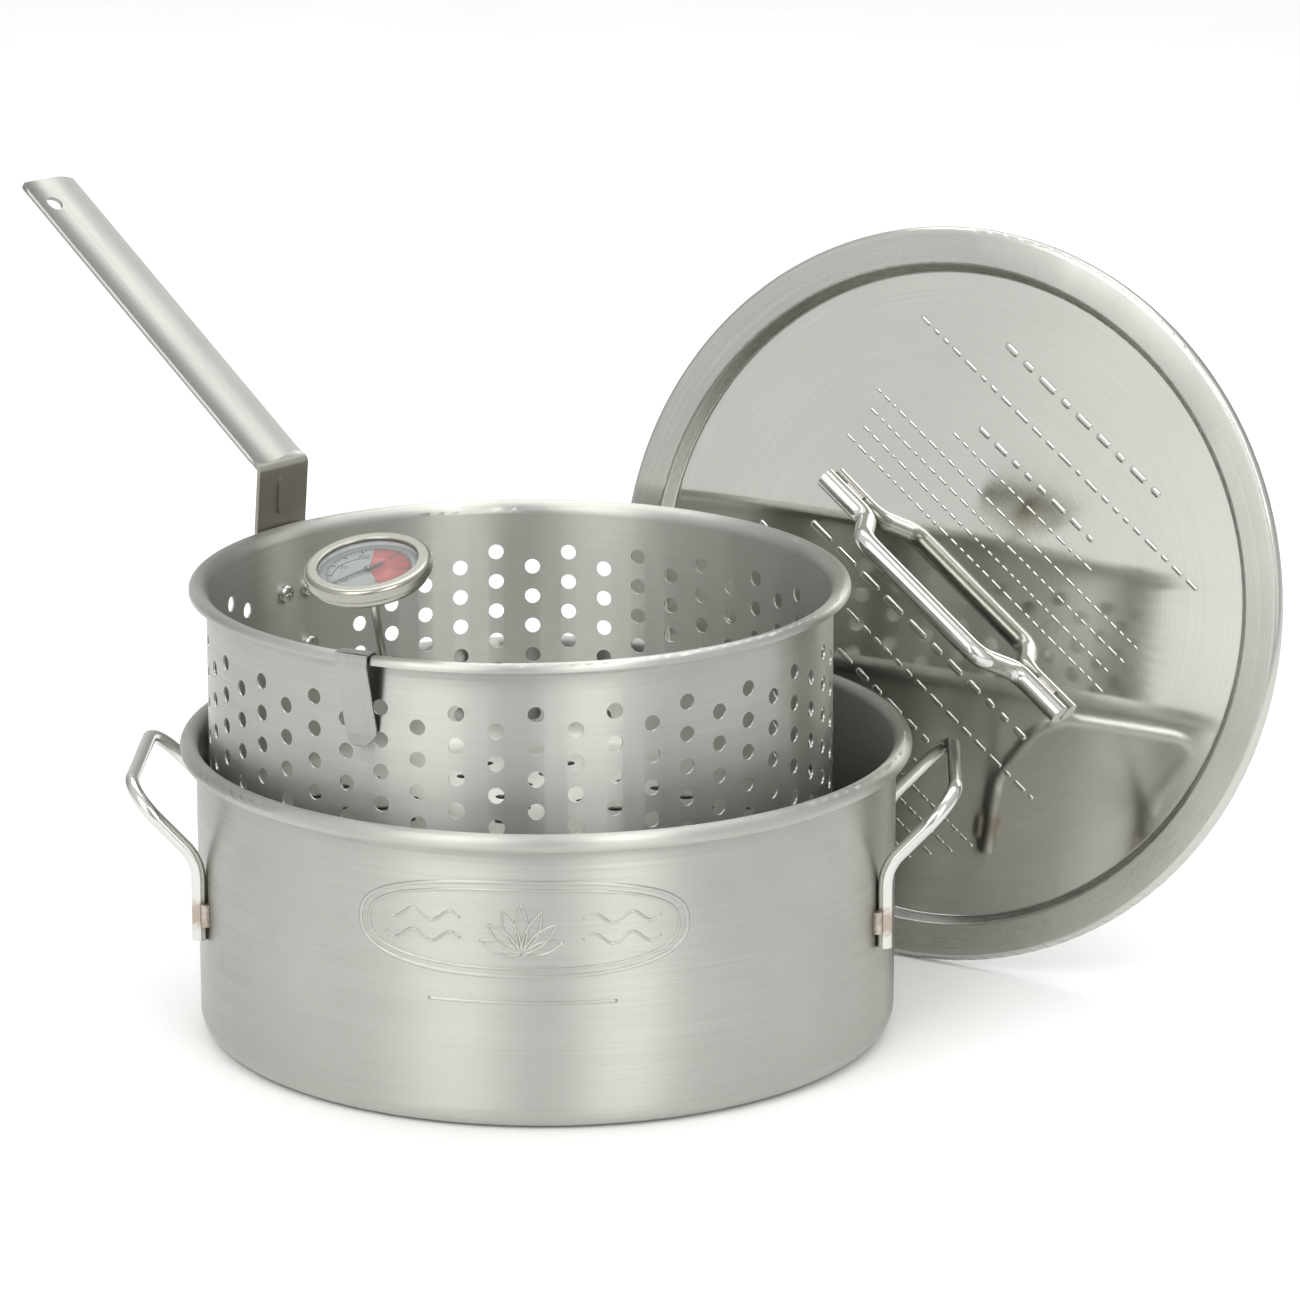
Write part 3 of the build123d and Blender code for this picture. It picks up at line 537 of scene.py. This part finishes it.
def add_pot_line(form, outline, width, closed=False):
    """Raised line on the pot's wall along an outline."""
    placed = [on_pot(across, up) for across, up in outline]
    points = [point for point, _ in placed]
    normals = [normal for _, normal in placed]
    add_tube(form, points, normals, (width, LINE_RISE), closed=closed)


def oval(half_width, half_height, steps=160):
    """Rounded cartouche outline, between an ellipse and a rectangle."""
    outline = []
    for index in range(steps):
        turn = 2 * pi * index / steps
        x = abs(cos(turn)) ** CARTOUCHE_POWER * (1 if cos(turn) >= 0 else -1)
        y = abs(sin(turn)) ** CARTOUCHE_POWER * (1 if sin(turn) >= 0 else -1)
        outline.append((half_width * x, half_height * y))
    return outline


def leaf(root, length, width, lean, steps=28):
    """Pointed leaf outline that grows from its root, leaning by an angle."""
    outline = []
    for index in range(2 * steps):
        share = index / steps
        side = 1 if share <= 1 else -1
        along = share if share <= 1 else 2 - share
        x = side * width / 2 * sin(pi * along)
        y = length * along
        outline.append((
            root[0] + x * cos(lean) - y * sin(lean),
            root[1] + x * sin(lean) + y * cos(lean),
        ))
    return outline


def wave(side, row):
    """Wavy line of two periods, on one side of the leaves."""
    outline = []
    for index in range(LINE_STEPS + 1):
        share = index / LINE_STEPS
        across = side * (WAVE_FROM + WAVE_LENGTH * share)
        outline.append((across, row + WAVE_HEIGHT * sin(4 * pi * share)))
    return outline


def rule():
    """Straight line under the ornament."""
    outline = []
    for index in range(LINE_STEPS + 1):
        across = EMBOSS_RULE_HALF * (2 * index / LINE_STEPS - 1)
        outline.append((across, EMBOSS_RULE_DROP))
    return outline


def build_pot_emboss(form):
    """Plain ornament: a double cartouche, a fan of leaves, wavy lines and a rule."""
    for half_width, half_height, width in CARTOUCHES:
        add_pot_line(form, oval(half_width, half_height), width, closed=True)
    for index in range(-LEAVES_BESIDE, LEAVES_BESIDE + 1):
        length = LEAF_LENGTH - LEAF_SHORTER * abs(index)
        add_pot_line(form, leaf(LEAF_ROOT, length, LEAF_WIDTH, LEAF_STEP * index), THIN_LINE, closed=True)
    for side in (-1, 1):
        for row in (-WAVE_ROW, WAVE_ROW):
            add_pot_line(form, wave(side, row), THIN_LINE)
    add_pot_line(form, rule(), RULE_LINE)


# --- Raised dashes on the lid ------------------------------------------------------------
LID_ROWS = (                        # up the panel from the handle, half length, row height
    (0.105, 0.053, 0.0080), (0.086, 0.093, 0.0052), (0.068, 0.038, 0.0068), (0.0575, 0.046, 0.0036),
    (0.0465, 0.088, 0.0036), (0.0375, 0.085, 0.0036), (0.0290, 0.082, 0.0036), (0.0205, 0.086, 0.0036),
    (-0.0220, 0.073, 0.0080), (-0.0400, 0.093, 0.0052), (-0.0570, 0.038, 0.0068), (-0.0680, 0.046, 0.0036),
    (-0.0775, 0.088, 0.0036), (-0.0865, 0.082, 0.0036), (-0.0950, 0.075, 0.0036), (-0.1035, 0.066, 0.0036),
)
DOME_RISE = 0.0016
PANEL_SINK = 0.0075                 # edge of the panel behind the band's face
DASH_ROOT = 0.0003                  # how deep a dash is rooted in the panel
DASH_RISE = 0.00045
DASH_SHARE = 0.42                   # width of a dash as a share of its row's height
DASH_GAP = 1.1                      # gap between dashes, in dash widths
DASH_LENGTHS = (1.6, 4.2)           # shortest and longest dash, in dash widths
DASH_STRAIGHT_MIN = 0.0001          # straight part of the shortest dash
DASH_PROFILE = (                    # shares of width and height, from the root up
    (1.0, 0.0), (1.0, 0.35), (0.85, 0.75), (0.55, 0.97), (0.2, 1.0),
)


def lid_frame():
    """Frame of the lid's face: X along its handle, Z out of the panel, origin on the band's face."""
    along = LID_LEVEL * cos(LID_HANDLE_TURN) + LID_CLIMB * sin(LID_HANDLE_TURN)
    place = Matrix((along, LID_NORMAL.cross(along), LID_NORMAL)).transposed().to_4x4()
    place.translation = LID_FACE
    return place


def build_lid_dashes(form):
    """Rows of plain raised dashes of uneven length, where such a lid has pressed notes."""
    place = lid_frame()
    for up, half, tall in LID_ROWS:
        width = DASH_SHARE * tall
        x = -half
        while x < half - width:
            length = min(random.uniform(*DASH_LENGTHS) * width, half - x)
            add_dash(form, place, (x + length / 2, up), length, width)
            x += length + DASH_GAP * width


def add_dash(form, place, middle, length, width):
    """Low rounded pill standing on the panel's dome."""
    from_centre = (middle[0] ** 2 + middle[1] ** 2) / LID_PANEL_R ** 2
    root = DOME_RISE * (1 - from_centre) - PANEL_SINK - DASH_ROOT
    straight = max(length - width, DASH_STRAIGHT_MIN) / 2
    rings = []
    for width_share, height_share in DASH_PROFILE:
        height = root + (DASH_ROOT + DASH_RISE) * height_share
        outline = stadium(middle, straight, width / 2 * width_share)
        rings.append([form.verts.new(place @ Vector((x, y, height))) for x, y in outline])
    join_rings(form, rings)


def stadium(middle, straight, radius, steps=6):
    """Outline of two half circles round the ends of a straight line along X."""
    outline = []
    for side in (1, -1):
        for index in range(steps + 1):
            turn = pi * index / steps - pi / 2
            x = side * (straight + radius * cos(turn))
            outline.append((middle[0] + x, middle[1] + side * radius * sin(turn)))
    return outline


def join_rings(form, rings):
    """Closed skin through rings of equal count, with a flat face at each end."""
    count = len(rings[0])
    for here, there in zip(rings, rings[1:]):
        for corner in range(count):
            following = (corner + 1) % count
            form.faces.new((here[corner], here[following], there[following], there[corner]))
    form.faces.new(rings[0])
    form.faces.new(list(reversed(rings[-1])))


# --- Dial print --------------------------------------------------------------------------
SCALE_START = -29.6                 # heading of the cold end
SCALE_SWEEP = 280.0
SCALE_LOW = 50
SCALE_STEP = 50
SCALE_MARKS = 10
TICKS_PER_MARK = 5
LONG_TICK = (0.0152, 1.4)           # inner radius, half width in degrees
SHORT_TICK = (0.0166, 0.7)
SCALE_RING = (0.0180, 0.01825)      # the ticks end on it
NUMBERS_R = 0.0124
NUMBERS_SIZE = 0.0036
MARKS_PER_NUMBER = 2
DIAL_UP = SCALE_START - SCALE_SWEEP / 2
RED_FROM = 200.8
RED_TO = 45.7
RED_RING = (0.0018, 0.0178)
SWEEP_FROM = (0.0160, -50.0)        # of the winding line: radius, heading
SWEEP_CHANGE = (-0.006, -102.0)
SWEEP_HALF_WIDTHS = (0.00012, 0.00034)   # at its ends, in its middle
PRINT_HEIGHT = 0.00004


def dial_frame():
    """Frame of the dial's face: X away from the basket, Z up the stem."""
    outward = Vector((STEM_AXIS.x, STEM_AXIS.y, 0)).normalized()
    x_axis = (outward - STEM_AXIS * outward.dot(STEM_AXIS)).normalized()
    y_axis = STEM_AXIS.cross(x_axis)
    place = Matrix((x_axis, y_axis, STEM_AXIS)).transposed().to_4x4()
    place.translation = STEM_POINT + STEM_AXIS * (BEZEL_TOP - DIAL_DEPTH + PRINT_LIFT)
    return place


def around(radius, heading):
    """Point on a circle of the dial."""
    return (radius * cos(radians(heading)), radius * sin(radians(heading)))


def arc_band(inner, outer, start, end, steps=48):
    """Flat outline of a ring's sector."""
    far = [around(outer, start + (end - start) * index / steps) for index in range(steps + 1)]
    near = [around(inner, end + (start - end) * index / steps) for index in range(steps + 1)]
    return far + near


def build_scale(form):
    """Long and short ticks, and the ring that they end on."""
    place = dial_frame()
    ticks = SCALE_MARKS * TICKS_PER_MARK
    for tick in range(ticks + 1):
        heading = SCALE_START - SCALE_SWEEP * tick / ticks
        inner, half = SHORT_TICK if tick % TICKS_PER_MARK else LONG_TICK
        outline = arc_band(inner, SCALE_RING[0], heading + half, heading - half, steps=2)
        add_prism(form, outline, place, PRINT_HEIGHT)
    add_prism(form, arc_band(*SCALE_RING, SCALE_START, SCALE_START - SCALE_SWEEP), place, PRINT_HEIGHT)


def build_red_sector(form):
    add_prism(form, arc_band(*RED_RING, RED_FROM, RED_TO), dial_frame(), PRINT_HEIGHT / 2)


def build_sweep_line(form, steps=40):
    """Dark curved line on the dial that winds inwards from the cold end of the scale."""
    middle = []
    for index in range(steps + 1):
        share = index / steps
        radius = SWEEP_FROM[0] + SWEEP_CHANGE[0] * share
        heading = SWEEP_FROM[1] + SWEEP_CHANGE[1] * share
        thin, thick = SWEEP_HALF_WIDTHS
        middle.append((radius, heading, thin + (thick - thin) * sin(pi * share)))
    far = [around(radius + half, heading) for radius, heading, half in middle]
    near = [around(radius - half, heading) for radius, heading, half in reversed(middle)]
    add_prism(form, far + near, dial_frame(), PRINT_HEIGHT)


def add_number(form, number, place):
    """A flat number, written by Blender's own font and turned into mesh."""
    curve = bpy.data.curves.new("number", "FONT")
    curve.body = str(number)
    curve.size = NUMBERS_SIZE
    curve.align_x = "CENTER"
    curve.align_y = "CENTER"
    curve.extrude = PRINT_HEIGHT / 2
    text = bpy.data.objects.new("number", curve)
    bpy.context.scene.collection.objects.link(text)
    bpy.context.view_layer.update()
    mesh = bpy.data.meshes.new_from_object(text)
    mesh.transform(place)
    form.from_mesh(mesh)
    bpy.data.objects.remove(text)
    bpy.data.curves.remove(curve)
    bpy.data.meshes.remove(mesh)


def make_numbers(material):
    """Numbers of the scale, upright on the dial."""
    upright = Matrix.Rotation(radians(DIAL_UP - 90), 4, "Z")
    form = bmesh.new()
    for mark in range(0, SCALE_MARKS + 1, MARKS_PER_NUMBER):
        x, y = around(NUMBERS_R, SCALE_START - SCALE_SWEEP * mark / SCALE_MARKS)
        spot = Matrix.Translation((x, y, PRINT_HEIGHT / 2))
        add_number(form, SCALE_LOW + SCALE_STEP * mark, dial_frame() @ spot @ upright)
    mesh = bpy.data.meshes.new("dial_numbers")
    form.to_mesh(mesh)
    form.free()
    add_piece("dial_numbers", mesh, material, "head")


# --- Looks of the CAD nodes --------------------------------------------------------------
SAME_POINT = 1e-6
TRIM_GREY = (0.72, 0.73, 0.72)
POINTER_BLACK = (0.03, 0.03, 0.03)
INK_BLACK = (0.02, 0.022, 0.025)
INK_RED = (0.42, 0.055, 0.045)


def dress(material, *nodes):
    """Give one material to CAD nodes."""
    for name in nodes:
        mesh = frame["nodes"][name].data
        mesh.materials.clear()
        mesh.materials.append(material)
        for face in mesh.polygons:
            face.material_index = 0


def shade_evenly(*nodes):
    """Take the shading anew from the faces: a dome's doubled top point gives it a false one."""
    for name in nodes:
        single_top = frame["nodes"][name].modifiers.new("single_top", "WELD")
        single_top.merge_threshold = SAME_POINT
        shading = frame["nodes"][name].modifiers.new("even_shading", "WEIGHTED_NORMAL")
        shading.mode = "FACE_AREA"


def dress_cad_nodes():
    """Every CAD node's material; the grip of the basket handle points away from the basket."""
    low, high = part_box("basket_handle")
    outward = Vector((low.x - high.x, high.y - low.y, 0)).normalized()
    handle_axis = outward * cos(GRIP_SLOPE) + Z_AXIS * sin(GRIP_SLOPE)
    weld_z = middle_of("pot_handle_welds").z
    dress(pot_steel(), "pot_shell")
    dress(basket_steel(), "basket_shell")
    dress(lid_steel(), "lid_shell")
    dress(rod_steel("pot_rod_steel", weld_z), "pot_handle_left", "pot_handle_right")
    dress(rod_steel("lid_rod_steel"), "lid_handle")
    dress(weld_steel("heat_tinted_weld", HEAT_BROWN, WELD_GREY), "pot_handle_welds")
    dress(weld_steel("clean_weld", WELD_DARK, WELD_GREY), "lid_handle_welds")
    dress(strap_steel(handle_axis), "basket_handle")
    dress(screw_steel(), "handle_screws", "handle_lock_washers", "handle_nuts")
    dress(clip_steel(), "thermometer_clip")
    dress(stem_steel(), "thermometer_stem", "pointer_shaft")
    dress(brass(), "calibration_nut", "bimetal_coil", "shaft_bush")
    dress(bezel_steel(), "thermometer_case", "thermometer_bezel")
    dress(dial_metal(), "dial_plate")
    dress(painted("dial_trim", TRIM_GREY), "dial_spacer")
    dress(painted("pointer_black", POINTER_BLACK), "thermometer_pointer")
    dress(lens_glass(), "thermometer_lens")
    shade_evenly("lid_shell", "thermometer_lens")


# --- Stage -------------------------------------------------------------------------------
CAMERA_PLACE = (0.04536, -2.5069, 0.8570)
CAMERA_PITCH = 15.38                # degrees below the horizon
CAMERA_LENS = 165.03                # lens and sensor in millimetres
SENSOR = 36.0
FLOOR_R = 2.4
FLOOR_CENTRE = (0.0, 1.0, -0.0002)
LAMPS = (                           # name, place, target, size, watts
    ("key", (-0.95, -1.58, 1.9), (0, 0, 0.1), (1.3, 1.0), 17),
    ("fill", (0.85, -1.6, 1.5), (0, 0, 0.15), (0.8, 1.2), 10),
    ("top", (0.1, 0.9, 2.4), (0, 0.7, 0), (2.4, 1.8), 30),
)
STUDIO_WALLS = (                    # heading and brightness of the walls, round the horizon
    (-180, 0.85), (-150, 1.00), (-130, 1.80), (-116, 1.80), (-101, 0.50),
    (-86, 0.50), (-72, 1.60), (-58, 1.50), (-40, 0.75), (0, 0.75),
    (30, 0.55), (60, 0.40), (110, 0.75), (140, 0.42), (180, 0.85),
)
WALL_WARMTH = 0.99                  # blue as a share of red and green
CEILING = 0.90
CEILING_SPAN = (0.35, 0.85)         # heights of a unit direction where walls turn into ceiling
BELOW = 0.42
HORIZON_SPAN = (-0.02, 0.02)        # and where the dark below turns into walls


def make_camera():
    data = bpy.data.cameras.new("camera")
    data.lens = CAMERA_LENS
    data.sensor_width = SENSOR
    data.clip_end = 50
    camera = bpy.data.objects.new("camera", data)
    camera.location = CAMERA_PLACE
    camera.rotation_euler = (radians(90 - CAMERA_PITCH), 0, 0)
    bpy.context.scene.collection.objects.link(camera)
    bpy.context.scene.camera = camera


def build_floor(form):
    bmesh.ops.create_circle(form, cap_ends=True, segments=128, radius=FLOOR_R)


def make_floor():
    mesh = mesh_of(build_floor, "floor")
    floor = bpy.data.objects.new("floor", mesh)
    floor.location = FLOOR_CENTRE
    mesh.materials.append(floor_paint())
    bpy.context.scene.collection.objects.link(floor)


def make_light(name, place, target, size, power):
    """Rectangular lamp that faces its target."""
    data = bpy.data.lights.new(name, "AREA")
    data.shape = "RECTANGLE"
    data.size = size[0]
    data.size_y = size[1]
    data.energy = power
    lamp = bpy.data.objects.new(name, data)
    lamp.location = place
    lamp.rotation_euler = (Vector(target) - Vector(place)).to_track_quat("-Z", "Y").to_euler()
    bpy.context.scene.collection.objects.link(lamp)


def studio_walls(sky, direction):
    """Soft walls of uneven brightness round the horizon."""
    heading = sky.maths("ARCTAN2", direction.outputs["Y"], direction.outputs["X"])
    walls = sky.node("ShaderNodeValToRGB", {0: sky.spread(heading, 0.0, 1.0, -pi, pi)})
    walls.color_ramp.interpolation = "EASE"
    stops = walls.color_ramp.elements
    while len(stops) < len(STUDIO_WALLS):
        stops.new(0.5)
    for stop, (angle, bright) in zip(stops, STUDIO_WALLS):
        stop.position = (angle + 180) / 360
        stop.color = (bright, bright, bright * WALL_WARMTH, 1)
    return walls.outputs["Color"]


def make_world():
    """White to the camera; in reflections, a studio with bright and dark soft walls."""
    world = bpy.data.worlds.new("studio")
    world.use_nodes = True
    bpy.context.scene.world = world
    sky = Nodes(world.node_tree)
    place = sky.node("ShaderNodeTexCoord").outputs["Generated"]
    direction = sky.node("ShaderNodeSeparateXYZ", {0: place})
    height = direction.outputs["Z"]
    walls = studio_walls(sky, direction)
    above = sky.mix(sky.spread(height, 0.0, 1.0, *CEILING_SPAN), walls, grey(CEILING))
    whole = sky.mix(sky.spread(height, 0.0, 1.0, *HORIZON_SPAN), grey(BELOW), above)
    to_camera = sky.node("ShaderNodeLightPath").outputs["Is Camera Ray"]
    shown = sky.mix(to_camera, whole, grey(1.0))
    sky.tree.links.new(shown, sky.tree.nodes["Background"].inputs["Color"])


make_camera()
make_world()
make_floor()
for lamp in LAMPS:
    make_light(*lamp)
bpy.context.scene.view_settings.view_transform = "Standard"

dress_cad_nodes()
add_piece("pot_ornament", mesh_of(build_pot_emboss, "pot_ornament"),
          frame["nodes"]["pot_shell"].data.materials[0], "pot")
add_piece("lid_raised_dashes", mesh_of(build_lid_dashes, "lid_raised_dashes"),
          frame["nodes"]["lid_shell"].data.materials[0], "lid")
print_black = painted("dial_print_black", INK_BLACK)
print_red = painted("dial_print_red", INK_RED)
for name, build, ink, slot in (
    ("dial_scale", build_scale, print_black, "pointer_black"),
    ("dial_sweep_line", build_sweep_line, print_black, "pointer_black"),
    ("dial_red_sector", build_red_sector, print_red, "dial_face"),
):
    add_piece(name, mesh_of(build, name), ink, "head")
make_numbers(print_black)
